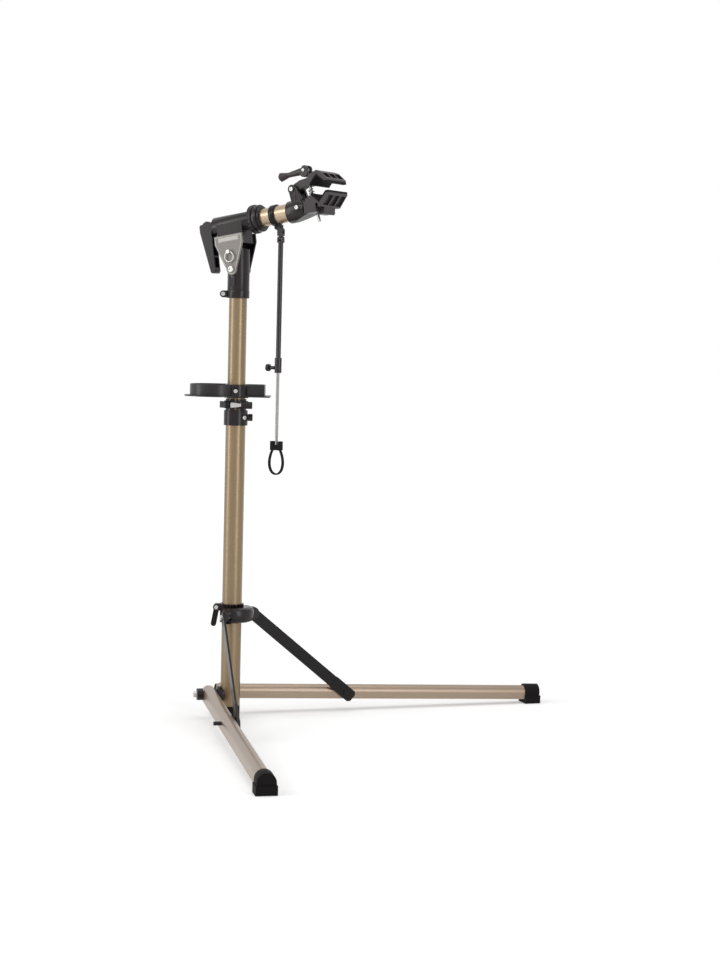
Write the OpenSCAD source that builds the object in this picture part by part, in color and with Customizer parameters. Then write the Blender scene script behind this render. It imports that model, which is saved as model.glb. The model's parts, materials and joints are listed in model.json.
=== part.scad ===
// Bicycle repair stand: two folding legs, telescopic mast, tool tray,
// tilting head with a turning jaw clamp, and a hanging wheel holder.
// Millimetres. Origin on the floor under the mast, +Z up, +X the way the clamp points.

/* [Mast] */
// outside diameter of the lower tube
lower_od = 40; // [34:0.5:50]
// wall of the lower tube
lower_wall = 1.5; // [1:0.1:3]
// height of the lower tube's bottom end
lower_z0 = 25; // [15:1:35]
// height of the lower tube's top end
lower_top = 612; // [560:1:640]
// outside diameter of the upper tube
upper_od = 36; // [28:0.5:36]
// wall of the upper tube
upper_wall = 1.5; // [1:0.1:3]
// height of the upper tube's bottom end, mast run down
upper_z0 = 95; // [90:1:120]
// height of the plug inside the lower tube
plug_top = 80; // [70:1:88]
// length of the glide bush on the upper tube's end
glide_len = 30; // [15:1:40]

/* [Legs] */
// angle between the two legs, seen from above
leg_spread = 96; // [80:1:110]
// reach of a leg from its pivot to the end of its foot
leg_len = 696; // [500:1:800]
// width and height of the arched leg tube
leg_w = 28; // [22:0.5:34]
// wall of the leg tube
leg_wall = 1.5; // [1:0.1:3]
// how far the leg tube runs behind its pivot
leg_back = 20; // [16:1:30]
// distance of a leg's middle plane from the mast axis
leg_off = 42; // [40:0.5:60]
// height of the leg pivots
pivot_z = 48; // [42:1:60]
// height of the leg's middle at the foot
foot_axis_z = 22; // [21.5:0.5:26]
// radius of the bolts that the legs and braces turn on
pivot_bolt_r = 4; // [3:0.25:5]
// radius of the bracket's bosses
boss_r = 16; // [12:0.5:18]
// radius of the black pivot nut
nut_r = 12; // [9:0.5:14]
// thickness of the black pivot nut
nut_len = 12; // [6:0.5:16]
// radius of the bright bolt end
bolt_end_r = 6; // [4.5:0.25:8]
// length of the bright bolt end
bolt_end_len = 6; // [3:0.5:10]
// width of a foot
foot_w = 35; // [33:0.5:46]
// length of a foot
foot_len = 32; // [24:1:50]
// thickness of a foot's end wall
foot_end = 6; // [3:0.5:10]

/* [Braces and sliding collar] */
// place of the brace bolt along the leg
brace_at = 256; // [200:1:320]
// place of the brace's upper pin, out from the mast axis
arm_reach = 48; // [40:1:60]
// height of the brace's upper pin
arm_z = 211; // [180:1:240]
// width of the flat brace bar
brace_w = 24; // [18:0.5:30]
// thickness of the flat brace bar
brace_t = 4; // [3:0.25:6]
// length of the black cap on the brace's lower end
cap_len = 36; // [24:1:60]
// thickness of the cap over each face of the bar
cap_t = 1; // [0.5:0.1:2]
// wall of the sliding collar
collar_wall = 4; // [3:0.25:8]
// height of the sliding collar
collar_h = 38; // [30:1:50]
// height of the sliding collar's bottom
collar_z0 = 196; // [170:1:205]
// height of the arm at the brace pin
arm_h = 26; // [18:0.5:30]
// radius of the collar's round front between its arms
yoke_r = 45; // [38:0.5:47]
// angle that the collar's front runs past each leg's direction
yoke_sweep = 22; // [10:1:30]
// height of the collar's front above its arms
yoke_rise = 4; // [0:0.5:8]
// rounding of the collar's front
yoke_round = 8; // [4:0.5:12]
// thickness of the arm that carries a brace
arm_t = 12; // [8:0.5:16]

/* [Mast fittings] */
// turn of the levers, knob and tray about the mast, as photographed
fit_turn = -60; // [-180:1:180]
// length of the lower tube inside the fixed collar
top_grip = 16; // [10:1:24]
// height of the fixed collar
top_collar_h = 30; // [24:1:40]
// wall of the fixed collar
top_collar_wall = 4; // [3:0.25:8]
// height of the slotted neck above the fixed collar
neck_h = 23; // [20:1:30]
// wall of the slotted neck
neck_wall = 3; // [2:0.25:5]
// width of the slot in the neck and the gap in the bands
slot_w = 4; // [2:0.5:6]
// height of the quick-release band
band_h = 15; // [10:0.5:18]
// wall of the quick-release band
band_wall = 3.5; // [2.5:0.25:6]
// radius of the small clamp bolts
screw_r = 2.5; // [2:0.25:3.5]
// radius of the small bolt heads
screw_head_r = 4; // [3.5:0.25:6]
// height of the small bolt heads
screw_head_h = 3; // [2:0.25:5]
// reach of the quick-release lever
lever_reach = 30; // [20:1:36]
// thickness of the quick-release lever
lever_t = 5; // [4:0.25:8]
// radius of the thumb knob on the fixed collar
knob_r = 7; // [5:0.5:10]
// length of the thumb knob
knob_len = 9; // [6:0.5:14]

/* [Tray] */
// gap between the fixed collar's neck and the tray's underside
tray_rise = 4; // [2:1:50]
// height of the tray's walls
tray_h = 24; // [15:1:40]
// thickness of the tray's walls and floor
tray_t = 2.5; // [1.5:0.25:4]
// radius of the round end
tray_round = 48; // [40:1:60]
// distance of the round end's middle from the mast
tray_round_at = 46; // [40:1:60]
// reach of the square end
tray_reach = 57; // [45:1:75]
// depth of the square end
tray_square = 56; // [50:1:90]
// width of the flange round the floor
tray_lip = 11; // [4:0.5:14]
// wall of the tray's clamp ring
tray_ring_wall = 5; // [3.5:0.25:7]
// height of the tray's clamp ring
tray_ring_h = 27; // [20:1:34]

/* [Head] */
// tilt of the head in the photograph, clamp end up
head_tilt = 9; // [0:1:20]
// height of the tilt bolt
tilt_z = 908; // [860:1:940]
// radius of the tilt bolt
tilt_bolt_r = 4; // [3:0.25:6]
// height of the head sleeve's bottom
sleeve_z0 = 851; // [820:1:855]
// wall of the head sleeve
sleeve_wall = 4; // [3:0.25:6]
// reach of the sleeve's rounded top from the tilt bolt
sleeve_top_r = 46; // [36:0.5:48]
// depth of the sleeve's socket above its bottom
socket_h = 42; // [30:1:46]
// height of the sleeve's clamp ring
ring_h = 16; // [10:0.5:20]
// wall of the sleeve's clamp ring
ring_wall = 2.5; // [2:0.25:5]
// thickness of the side plates
plate_t = 4; // [3:0.25:6]
// width of the side plates' top
plate_w = 66; // [50:1:80]
// height of the side plates' top above the tilt bolt
plate_top = 69; // [60:1:74]
// height above the tilt bolt where the plates' taper starts
plate_side = 52; // [40:1:56]
// radius of the side plates' rounded bottom
plate_r = 11.5; // [9:0.5:14]
// distance of the pull pin from the tilt bolt
pin_at = 35; // [28:0.5:40]
// radius of the pull pin
pin_r = 3; // [2:0.25:4]
// radius of the pull ring, to the middle of its wire
pull_ring_r = 10; // [7:0.5:13]
// radius of the pull ring's wire
pull_wire_r = 1.2; // [0.8:0.1:2]
// height of the barrel's axis above the tilt bolt
barrel_at = 93; // [90:0.5:100]
// outside diameter of the barrel
barrel_od = 37; // [34:0.5:44]
// radius of the spindle inside the barrel
spindle_r = 6; // [4:0.25:8]
// place of the barrel's rear end
barrel_rear = -42; // [-60:1:-36]
// place of the coupling's rear face
coupling_at = 48; // [42:1:56]
// radius of the coupling rings
coupling_r = 28; // [25:0.5:34]
// thickness of each coupling ring
coupling_t = 10; // [7:0.5:14]
// width of the head lever
lever_w = 20; // [14:0.5:26]
// distance from the barrel's rear end to the head lever's pin
lever_pin_gap = 16; // [14:0.5:20]
// radius of the head lever's cam end
lever_cam_r = 13; // [10:0.5:13.5]

/* [Clamp] */
// outside diameter of the clamp tube
arm_od = 36; // [30:0.5:38]
// wall of the clamp tube
arm_wall = 2; // [1.5:0.1:3]
// place of the clamp body's rear face
body_at = 136; // [130:1:150]
// radius of the clamp body's socket
body_r = 22; // [21:0.5:26]
// depth of the socket
body_socket = 22; // [15:1:23]
// width of the jaws
jaw_w = 74; // [64:1:84]
// place of the jaw bolt along the arm
jaw_x = 154; // [150:0.5:158]
// height of the jaw bolt above the tilt bolt
jaw_z = 135; // [130:0.5:138]
// radius of the jaw bolt
jaw_bolt_r = 3; // [2:0.25:4]
// thickness of each cheek that carries the jaw bolt
cheek_t = 6; // [4:0.5:9]
// width of the upper jaw's knuckle between the cheeks
knuckle_w = 21; // [16:0.5:24]
// thickness of the jaw pads
pad_t = 4; // [2:0.25:5]
// place of the V in both jaws along the arm
vee_x = 224; // [222:0.5:226]
// place of the jaws' front ends
jaw_tip = 247; // [245:0.5:252]
// height of the lower pad's flat
lower_flat = 117; // [115:0.5:119]
// height of the upper pad's flat
upper_flat = 132; // [130:0.5:134]
// depth of the V in each jaw
vee_depth = 16.5; // [13:0.5:18]
// width of the V on each side
vee_w = 16.5; // [14:0.5:18]
// thickness of the jaws' ribs
rib_t = 3.5; // [2.5:0.25:5]
// depth of the pockets between the jaws' ribs
pocket_depth = 4.5; // [3:0.25:5]
// radius of the draw rod
draw_r = 3; // [2:0.25:4]
// place of the draw rod's pin along the arm
cam_x = 181; // [178:0.5:184]
// height of the draw rod's pin
cam_z = 169; // [168:0.5:174]
// lean of the draw rod
draw_lean = 10; // [8:0.5:12]
// length of the draw rod below its pin
draw_len = 106; // [100:1:118]
// radius of the spring wire
spring_wire_r = 0.9; // [0.6:0.1:1.1]
// radius of the spring coil, to the middle of its wire
spring_r = 5.2; // [4.9:0.1:6]
// number of curls in the spring
spring_turns = 4; // [3:1:5]

/* [Hanging rod] */
// place of the hanger band along the arm
hang_at = 95; // [92:0.5:100]
// width of the hanger band
hang_w = 12; // [8:0.5:14]
// wall of the hanger band
hang_wall = 3; // [2:0.25:5]
// drop of the hanger pin below the arm's axis
hang_drop = 31; // [29:0.5:36]
// outside diameter of the outer rod
rod_od = 10; // [8:0.25:14]
// inside diameter of the outer rod
rod_id = 7; // [6:0.25:8]
// diameter of the inner rod
inner_d = 6; // [4:0.25:6]
// length of the outer rod below its eye
rod_len = 257.5; // [200:0.5:320]
// length of the coupling sleeve on the outer rod
rod_sleeve_len = 30; // [20:1:40]
// diameter of the coupling sleeve
rod_sleeve_d = 14; // [12:0.25:18]
// radius of the thumbscrew's disc
disc_r = 7; // [5:0.5:10]
// length of the inner rod seen below the sleeve
inner_show = 136; // [80:1:180]
// length of the inner rod hidden inside the outer rod
inner_hidden = 150; // [100:1:200]
// half width of the strap loop
strap_half = 14; // [10:0.5:20]
// height of the strap loop
strap_h = 52; // [40:1:60]
// thickness of the strap
strap_t = 3; // [2:0.25:4]
// width of the strap
strap_w = 6; // [4:0.5:7]

/* [Clearances] */
// radial clearance of a running fit
run_gap = 0.05; // [0.01:0.01:0.1]
// clearance between pieces that sit against each other
seat_gap = 0.05; // [0.02:0.01:0.1]
// clearance between pieces that move past each other
side_gap = 0.4; // [0.3:0.05:0.8]

/* [Hidden] */
$fn = 64;

over = 1;                       // how far a cutter runs past what it cuts
big = 400;                      // half size of a cutting block
bronze = "#9c8360";
black = "#2c2829";
steel = "#c9c7c4";
pewter = "#8b8681";
rubber = "#1d1b1b";

lower_r = lower_od / 2;
upper_r = upper_od / 2;
leg_drop = asin((pivot_z - foot_axis_z) / leg_len);
leg_in = leg_off - leg_w / 2;
leg_out = leg_off + leg_w / 2;
cap_y1 = leg_in - side_gap;
brace_y0 = cap_y1 - cap_t - brace_t;
pin_cover = 3;
pin_y0 = brace_y0 - side_gap - arm_t + pin_cover;
brace_dx = brace_at * cos(leg_drop) - arm_reach;
brace_dz = arm_z - pivot_z + brace_at * sin(leg_drop);
brace_l = sqrt(brace_dx * brace_dx + brace_dz * brace_dz);
brace_ang = atan2(brace_dz, brace_dx);
collar_r = lower_r + run_gap + collar_wall;
ear_r = 7;
ear_t = 7;
ear_y = collar_r + ear_r;
ear_z = collar_z0 + collar_h - ear_r - over;
top_collar_r = lower_r + seat_gap + top_collar_wall;
top_collar_z0 = lower_top - top_grip;
top_collar_z1 = top_collar_z0 + top_collar_h;
neck_r = upper_r + run_gap + neck_wall;
band_r = neck_r + seat_gap + band_wall;
band_z = top_collar_z1 + neck_h / 2;
tray_z = top_collar_z1 + neck_h + tray_rise;
lug_t = 6;
lug_x = band_r + 2 * screw_r;
hub_r = 6;
hub_y = slot_w / 2 + lug_t + hub_r + 2;
lever_dir = 208;
tray_ring_r = upper_r + seat_gap + tray_ring_wall;
tray_front = 6;
tray_back = 8;
shank_r = 3;

// Puts its children in the frame of one leg: +x along the leg, +y away from the mast.
module side(s) {
    if (s > 0) rotate([0, 0, leg_spread / 2]) children();
    else mirror([0, 1, 0]) rotate([0, 0, leg_spread / 2]) children();
}

// Turns its children to the side of the mast where the levers and the tray sit.
module fitted() {
    rotate([0, 0, fit_turn]) children();
}

// Puts its children on the leg's pivot, +x down the sloping leg.
module at_leg() {
    translate([0, leg_off, pivot_z]) rotate([0, leg_drop, 0]) children();
}

// Puts its children on the brace's upper pin, +x down the brace.
module at_brace(y) {
    translate([arm_reach, y, arm_z]) rotate([0, brace_ang, 0]) children();
}

module rod_x(r, x0, x1) {
    translate([x0, 0, 0]) rotate([0, 90, 0]) cylinder(r = r, h = x1 - x0);
}

module rod_y(r, y0, y1) {
    translate([0, y0, 0]) rotate([-90, 0, 0]) cylinder(r = r, h = y1 - y0);
}

module tube(r_out, r_in, h) {
    difference() {
        cylinder(r = r_out, h = h);
        translate([0, 0, -over]) cylinder(r = r_in, h = h + 2 * over);
    }
}

// A flat shape drawn in x and z, from y = 0 to y = t.
module flat(t) {
    translate([0, t, 0]) rotate([90, 0, 0]) linear_extrude(t) children();
}

// A flat bar along x with round ends on x0 and x1.
module strip(x0, x1, w) {
    translate([x0, -w / 2]) square([x1 - x0, w]);
    translate([x0, 0]) circle(d = w);
    translate([x1, 0]) circle(d = w);
}

// The leg's cross-section: flat bottom and sides, round top.
module arch(w) {
    circle(d = w);
    translate([-w / 2, -w / 2]) square([w, w / 2]);
}

module arch_bar(w, x0, x1) {
    translate([x0, 0, 0]) rotate([90, 0, 90]) linear_extrude(x1 - x0) arch(w);
}

// Bores for the two pivot bolts, out from the mast axis.
module pivot_bores() {
    for (s = [-1, 1]) side(s) translate([0, 0, pivot_z])
        rod_y(pivot_bolt_r + seat_gap, 0, lower_od);
}

module mast_foot() {
    edge = 2;
    plug_r = lower_r - lower_wall - seat_gap;
    color(black) difference() {
        union() {
            cylinder(r1 = lower_r - edge, r2 = lower_r, h = edge);
            translate([0, 0, edge]) cylinder(r = lower_r, h = lower_z0 - edge - seat_gap);
            cylinder(r = plug_r, h = plug_top);
        }
        pivot_bores();
    }
}

module lower_tube() {
    color(bronze) difference() {
        translate([0, 0, lower_z0]) tube(lower_r, lower_r - lower_wall, lower_top - lower_z0);
        pivot_bores();
    }
}

module pivot_bracket() {
    color(black) difference() {
        for (s = [-1, 1]) side(s) translate([0, 0, pivot_z]) rod_y(boss_r, 0, leg_in - side_gap);
        cylinder(r = lower_r + seat_gap, h = lower_top);
        pivot_bores();
        translate([0, -big, 0]) cube([big, 2 * big, lower_top]);
    }
}

module pivot_bolts() {
    start = 2 * pivot_bolt_r;
    nut_y = leg_out + side_gap;
    color(steel) for (s = [-1, 1]) side(s) translate([0, 0, pivot_z]) {
        rod_y(pivot_bolt_r, start, nut_y + nut_len + over);
        rod_y(bolt_end_r, nut_y + nut_len + seat_gap, nut_y + nut_len + bolt_end_len);
    }
}

module pivot_nuts() {
    nut_y = leg_out + side_gap;
    color(black) for (s = [-1, 1]) side(s) translate([0, 0, pivot_z]) difference() {
        rod_y(nut_r, nut_y, nut_y + nut_len);
        rod_y(pivot_bolt_r + seat_gap, nut_y - over, nut_y + nut_len + over);
    }
}

module leg(s) {
    color(bronze) side(s) at_leg() difference() {
        arch_bar(leg_w, -leg_back, leg_len - foot_end - seat_gap);
        arch_bar(leg_w - 2 * leg_wall, -leg_back - over, leg_len);
        rod_y(pivot_bolt_r + run_gap, -leg_w, leg_w);
        translate([brace_at, 0, 0]) rod_y(pivot_bolt_r + seat_gap, -leg_w, leg_w);
    }
}

module foot(s) {
    lip_t = 2;
    lip_z = foot_axis_z / 2;
    color(rubber) side(s) difference() {
        at_leg() difference() {
            union() {
                arch_bar(foot_w, leg_len - foot_len, leg_len);
                translate([leg_len - foot_len, -foot_w / 2 - lip_t, -foot_w])
                    cube([foot_len + lip_t, foot_w + 2 * lip_t, foot_w - lip_z / 2]);
            }
            arch_bar(leg_w + 2 * seat_gap, 0, leg_len - foot_end);
        }
        translate([0, -big, -big]) cube([2 * big, 2 * big, big]);
    }
}

// Nut and shank of the brace bolt: they stay with the leg, the bolt's head with the brace.
module brace_nut(s) {
    stub = 15;
    color(black) side(s) at_leg() translate([brace_at, 0, 0])
        rod_y(pivot_bolt_r, -leg_w / 2, leg_w / 2 + stub);
}

module brace(s) {
    color(black) side(s) at_brace(brace_y0) flat(brace_t) difference() {
        strip(0, brace_l, brace_w);
        circle(r = pivot_bolt_r + run_gap);
    }
}

// The cap's outline is square-ended with cut corners, and runs on past the bolt.
module brace_cap(s) {
    head_t = 2;
    past = 19;
    cut = 5;
    cap_h = brace_w / 2 + cap_t;
    x0 = brace_l - cap_len;
    x1 = brace_l + past;
    color(black) side(s) at_brace(brace_y0) {
        difference() {
            translate([0, -cap_t, 0]) flat(brace_t + 2 * cap_t) polygon([[x0, -cap_h], [x1 - cut, -cap_h],
                [x1, cut - cap_h], [x1, cap_h - cut], [x1 - cut, cap_h], [x0, cap_h]]);
            translate([0, -seat_gap, 0]) flat(brace_t + 2 * seat_gap)
                strip(0, brace_l, brace_w + 2 * seat_gap);
        }
        translate([brace_l, 0, 0]) rod_y(bolt_end_r, -cap_t - head_t, -cap_t / 2);
    }
}

// The casting's round front between the two arms.
module yoke() {
    half = leg_spread / 2 + yoke_sweep;
    far = 2 * yoke_r;
    z1 = arm_h + yoke_rise;
    soft = yoke_round;
    translate([0, 0, arm_z - arm_h / 2]) intersection() {
        rotate_extrude() polygon([[0, 0], [yoke_r - soft, 0], [yoke_r - soft / 4, soft / 3], [yoke_r, soft],
            [yoke_r, z1 - soft], [yoke_r - soft / 4, z1 - soft / 3], [yoke_r - soft, z1], [0, z1]]);
        linear_extrude(z1) polygon([[0, 0], [far * cos(half), -far * sin(half)], [far, -far], [far, far],
            [far * cos(half), far * sin(half)]]);
    }
}

module leg_collar() {
    arm_y1 = brace_y0 - side_gap;
    color(black) difference() {
        union() {
            translate([0, 0, collar_z0]) cylinder(r = collar_r, h = collar_h);
            for (s = [-1, 1]) side(s) {
                translate([0, arm_y1 - arm_t, 0]) flat(arm_t) polygon([[0, arm_z - arm_h / 2],
                    [arm_reach, arm_z - arm_h / 2], [arm_reach, arm_z + arm_h / 2],
                    [arm_reach - arm_h / 2, arm_z + arm_h / 2], [0, collar_z0 + collar_h - over]]);
                translate([arm_reach, 0, arm_z]) rod_y(arm_h / 2, arm_y1 - arm_t, arm_y1);
            }
            yoke();
            fitted() translate([0, -ear_y, ear_z]) {
                rod_x(ear_r, -ear_t, ear_t);
                translate([-ear_t, 0, -ear_r]) cube([2 * ear_t, ear_y, 2 * ear_r]);
            }
        }
        cylinder(r = lower_r + run_gap, h = lower_top);
        for (s = [-1, 1]) side(s) translate([arm_reach, 0, arm_z])
            rod_y(pivot_bolt_r + seat_gap, pin_y0 - seat_gap, 2 * lower_od);
        fitted() translate([0, -ear_y, ear_z]) rod_x(screw_r + seat_gap, -2 * ear_t, 2 * ear_t);
        fitted() translate([-slot_w / 2, -3 * lower_r, 0]) cube([slot_w, 3 * lower_r, lower_top]);
    }
}

module collar_pins() {
    head = 3;
    color(steel) for (s = [-1, 1]) side(s) translate([arm_reach, 0, arm_z]) {
        rod_y(pivot_bolt_r, pin_y0, brace_y0 + brace_t + side_gap + over);
        rod_y(bolt_end_r, brace_y0 + brace_t + side_gap, brace_y0 + brace_t + side_gap + head);
    }
}

// The band bolt's end carries the lever, so its rear end runs on past the ear.
module collar_bolt() {
    color(steel) fitted() translate([0, -ear_y, ear_z]) {
        rod_x(screw_r, -ear_t - side_gap - lever_t - screw_head_h, ear_t + screw_head_h);
        rod_x(screw_head_r, ear_t + seat_gap, ear_t + screw_head_h);
    }
}

module collar_lever() {
    hang = 100;
    color(black) fitted() translate([-ear_t - side_gap - lever_t, -ear_y, ear_z])
        rotate([0, 0, -90]) mirror([1, 0, 0]) flat(lever_t) difference() {
            rotate(-hang) strip(0, lever_reach + hub_r, 2 * hub_r - over);
            circle(r = screw_r + run_gap);
        }
}

module top_collar() {
    color(black) difference() {
        union() {
            translate([0, 0, top_collar_z0]) cylinder(r = top_collar_r, h = top_collar_h);
            translate([0, 0, top_collar_z1]) cylinder(r = neck_r, h = neck_h);
        }
        cylinder(r = lower_r + seat_gap, h = lower_top + seat_gap);
        cylinder(r = upper_r + run_gap, h = top_collar_z1 + 2 * neck_h);
        fitted() {
            translate([0, -slot_w / 2, top_collar_z1]) cube([2 * neck_r, slot_w, 2 * neck_h]);
            translate([0, 0, lower_top]) rod_y(shank_r + run_gap, upper_r, 2 * top_collar_r);
            rotate([0, 0, 45]) translate([0, 0, lower_top]) rod_x(screw_r + seat_gap, 0, 2 * top_collar_r);
        }
    }
}

module mast_band() {
    color(black) fitted() translate([0, 0, band_z - band_h / 2]) difference() {
        union() {
            cylinder(r = band_r, h = band_h);
            translate([0, -slot_w / 2 - lug_t, 0]) cube([lug_x + 2 * screw_r, slot_w + 2 * lug_t, band_h]);
        }
        translate([0, 0, -over]) cylinder(r = neck_r + seat_gap, h = band_h + 2 * over);
        translate([0, -slot_w / 2, -over]) cube([2 * band_r, slot_w, band_h + 2 * over]);
        translate([lug_x, 0, band_h / 2]) rod_y(screw_r + seat_gap, -2 * lug_t, 2 * lug_t);
    }
}

module mast_bolt() {
    reach = 26;
    color(steel) fitted() {
        translate([lug_x, 0, band_z]) rod_y(screw_r, -hub_y + hub_r + side_gap, reach);
        rotate([0, 0, 45]) translate([0, 0, lower_top]) {
            rod_x(screw_r, lower_r + side_gap, top_collar_r + over);
            rod_x(screw_head_r, top_collar_r + seat_gap, top_collar_r + screw_head_h);
        }
    }
}

module mast_drum() {
    drum_y = slot_w / 2 + lug_t + seat_gap;
    drum_len = 26;
    neck_len = 14;
    color(black) fitted() translate([lug_x, 0, band_z]) difference() {
        union() {
            rod_y(hub_r - over, drum_y, drum_y + neck_len);
            rod_y(hub_r + over, drum_y + neck_len, drum_y + drum_len);
        }
        rod_y(screw_r + seat_gap, -band_r, drum_y + drum_len - over);
    }
}

module mast_lever() {
    color(black) fitted() translate([lug_x, -hub_y, band_z - band_h / 2 + over]) {
        cylinder(r = hub_r, h = band_h - 2 * over);
        rotate([0, 0, lever_dir]) linear_extrude(band_h - 2 * over) strip(0, lever_reach, lever_t);
    }
}

module mast_knob() {
    color(black) fitted() translate([0, 0, lower_top]) {
        rod_y(shank_r, lower_r + side_gap, top_collar_r + side_gap + over);
        rod_y(knob_r, top_collar_r + side_gap, top_collar_r + side_gap + knob_len);
    }
}

module upper_tube() {
    top = sleeve_z0 + socket_h - side_gap;
    color(bronze) translate([0, 0, upper_z0]) tube(upper_r, upper_r - upper_wall, top - upper_z0);
}

module glide_bush() {
    color(black) translate([0, 0, upper_z0])
        tube(lower_r - lower_wall - run_gap, upper_r + seat_gap, glide_len);
}

module tray_ring() {
    ledge = 2;
    color(black) fitted() difference() {
        translate([0, 0, tray_z - ledge]) union() {
            cylinder(r = tray_ring_r, h = tray_ring_h);
            cylinder(r = tray_ring_r + ledge, h = ledge - seat_gap);
        }
        cylinder(r = upper_r + seat_gap, h = 2 * tray_z);
        translate([0, 0, tray_z + tray_h / 2]) rod_x(screw_r + seat_gap, 0, 2 * tray_ring_r);
    }
}

// The tray's outline, grown by g: a round end on one side of the mast, a square end on the other.
module tray_shape(g) {
    translate([-tray_back, -tray_round_at]) circle(r = tray_round + g);
    translate([tray_front - tray_square - g, -tray_round_at])
        square([tray_square + 2 * g, tray_round_at + tray_reach + g]);
}

module tray() {
    color(black) fitted() translate([0, 0, tray_z]) difference() {
        union() {
            linear_extrude(tray_t) tray_shape(tray_lip);
            linear_extrude(tray_h) difference() {
                tray_shape(0);
                tray_shape(-tray_t);
            }
        }
        translate([0, 0, -over]) cylinder(r = tray_ring_r + seat_gap, h = tray_h + 2 * over);
    }
}

module tray_screw() {
    color(steel) fitted() translate([0, 0, tray_z + tray_h / 2]) {
        rod_x(screw_r, upper_r + side_gap, tray_ring_r + over);
        rod_x(screw_head_r, tray_ring_r + seat_gap, tray_ring_r + screw_head_h);
    }
}

sleeve_r = upper_r + run_gap + sleeve_wall;
sleeve_neck_r = sleeve_r - ring_wall;
ring_r = sleeve_r + over / 2;
ring_ear_y = ring_r + ear_r;
plate_y0 = sleeve_r + side_gap;
plate_y1 = plate_y0 + plate_t;
plate_foot = 0.99 * plate_r;
pin_depth = -side_gap;
pin_head_r = 4;
pin_head_len = 7;
pin_head_y = plate_y1 + side_gap + pin_head_len / 2;
lever_pin_x = barrel_rear - lever_pin_gap;
lever_pin_r = 3;
lever_cover = 3;
turn_at = coupling_at + coupling_t + side_gap;
turn_wall = 4;
arm_r = arm_od / 2;
cheek_y0 = knuckle_w / 2 + side_gap;
cheek_y1 = cheek_y0 + cheek_t;
body_front = 177;
chin_front = 190;
chin_top = 82;
jaw_root_w = 40;
rear_top = 106;
body_bolt_x = 164.5;
body_bolt_z = 97;
cheek_r = 9;
lower_seat = lower_flat - pad_t;
upper_seat = upper_flat + pad_t;
vee_l = vee_x - vee_w;
vee_r = vee_x + vee_w;
eye_r = 6;
eye_w = 10;
cam_w = 22;
cam_r = 9;
cam_throw = 5;
hang_ahead = 8;
hang_x = hang_at + hang_w / 2 + hang_ahead;
hang_z = barrel_at - hang_drop;
hang_px = hang_x * cos(head_tilt) - hang_z * sin(head_tilt);
hang_pz = tilt_z + hang_x * sin(head_tilt) + hang_z * cos(head_tilt);
hang_r = arm_r + seat_gap + hang_wall;
hang_pin_r = 2;
link_r = 5;
link_t = 3;
link_gap = link_t + side_gap;
swing_drop = 16.5;
swing_r = 4.5;
swing_t = 5;
rod_neck = 8;
rod_top = swing_drop + rod_neck;
rod_end = rod_top + rod_len;
screw_drop = rod_end - rod_sleeve_len / 3;
bracket_h = 18;
bracket_w = 24;
bracket_t = 10;
strap_step = 7.5;
strap_drop = 0.18;
prong_h = 7;
prong_w = 5.5;
strap_sink = 2.5;
strap_top = rod_end + inner_show + prong_h + strap_sink + strap_t;

// Puts its children in the tilting head's frame: origin on the tilt bolt, +x along the arm.
module head() {
    translate([0, 0, tilt_z]) rotate([0, -head_tilt, 0]) children();
}

// The same frame, raised to the barrel's axis.
module on_arm() {
    head() translate([0, 0, barrel_at]) children();
}

// Origin on the draw rod's pin, -z down the leaning rod.
module on_draw() {
    head() translate([cam_x, 0, cam_z]) rotate([0, -draw_lean, 0]) children();
}

// Origin on the hanger's pin, upright, because the rod hangs plumb.
module hung() {
    translate([hang_px, 0, hang_pz]) children();
}

// Places a flat shape evenly about the middle plane.
module middle(w) {
    translate([0, -w / 2, 0]) flat(w) children();
}

module head_sleeve() {
    tab_w = 12;
    tab_h = 16;
    tab_gap = 5;
    tab_top = tilt_z - plate_r - tab_gap;
    neck_top = sleeve_z0 + ring_h + seat_gap;
    color(black) difference() {
        union() {
            translate([0, 0, sleeve_z0]) cylinder(r = sleeve_neck_r, h = neck_top - sleeve_z0);
            intersection() {
                translate([0, 0, neck_top]) cylinder(r = sleeve_r, h = big);
                union() {
                    translate([0, 0, tilt_z]) rod_y(sleeve_top_r, -big, big);
                    translate([-big, -big, 0]) cube([2 * big, 2 * big, tilt_z]);
                }
            }
            translate([-tab_w / 2, -plate_y0 - over, tab_top - tab_h]) cube([tab_w, plate_y0, tab_h]);
        }
        translate([0, 0, sleeve_z0 - over]) cylinder(r = upper_r + run_gap, h = socket_h + over);
        translate([0, 0, tilt_z]) rod_y(tilt_bolt_r + run_gap, -big, big);
        translate([0, 0, tilt_z]) intersection() {
            difference() {
                rod_y(pin_at + pin_r + side_gap, -sleeve_r - over, -sleeve_r + pin_depth + side_gap);
                rod_y(pin_at - pin_r - side_gap, -2 * sleeve_r, 0);
            }
            translate([-big, -big, 0]) cube(2 * big);
        }
    }
}

module sleeve_ring() {
    color(black) fitted() difference() {
        translate([0, 0, sleeve_z0]) union() {
            cylinder(r = ring_r, h = ring_h);
            translate([0, -ring_ear_y, ring_h / 2]) rod_x(ear_r, -ear_t, ear_t);
            translate([-ear_t, -ring_ear_y, ring_h / 2 - ear_r]) cube([2 * ear_t, ring_ear_y, 2 * ear_r]);
        }
        cylinder(r = sleeve_neck_r + seat_gap, h = 2 * sleeve_z0);
        translate([-slot_w / 2, -2 * ring_ear_y, 0]) cube([slot_w, 2 * ring_ear_y, 2 * sleeve_z0]);
        translate([0, -ring_ear_y, sleeve_z0 + ring_h / 2])
            rod_x(screw_r + seat_gap, -2 * ear_t, 2 * ear_t);
    }
}

module ring_bolt() {
    color(steel) fitted() translate([0, -ring_ear_y, sleeve_z0 + ring_h / 2]) {
        rod_x(screw_r, -ear_t - screw_head_h, ear_t + screw_head_h);
        for (x = [-ear_t - screw_head_h, ear_t + seat_gap])
            rod_x(screw_head_r, x, x + screw_head_h - seat_gap);
    }
}

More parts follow.
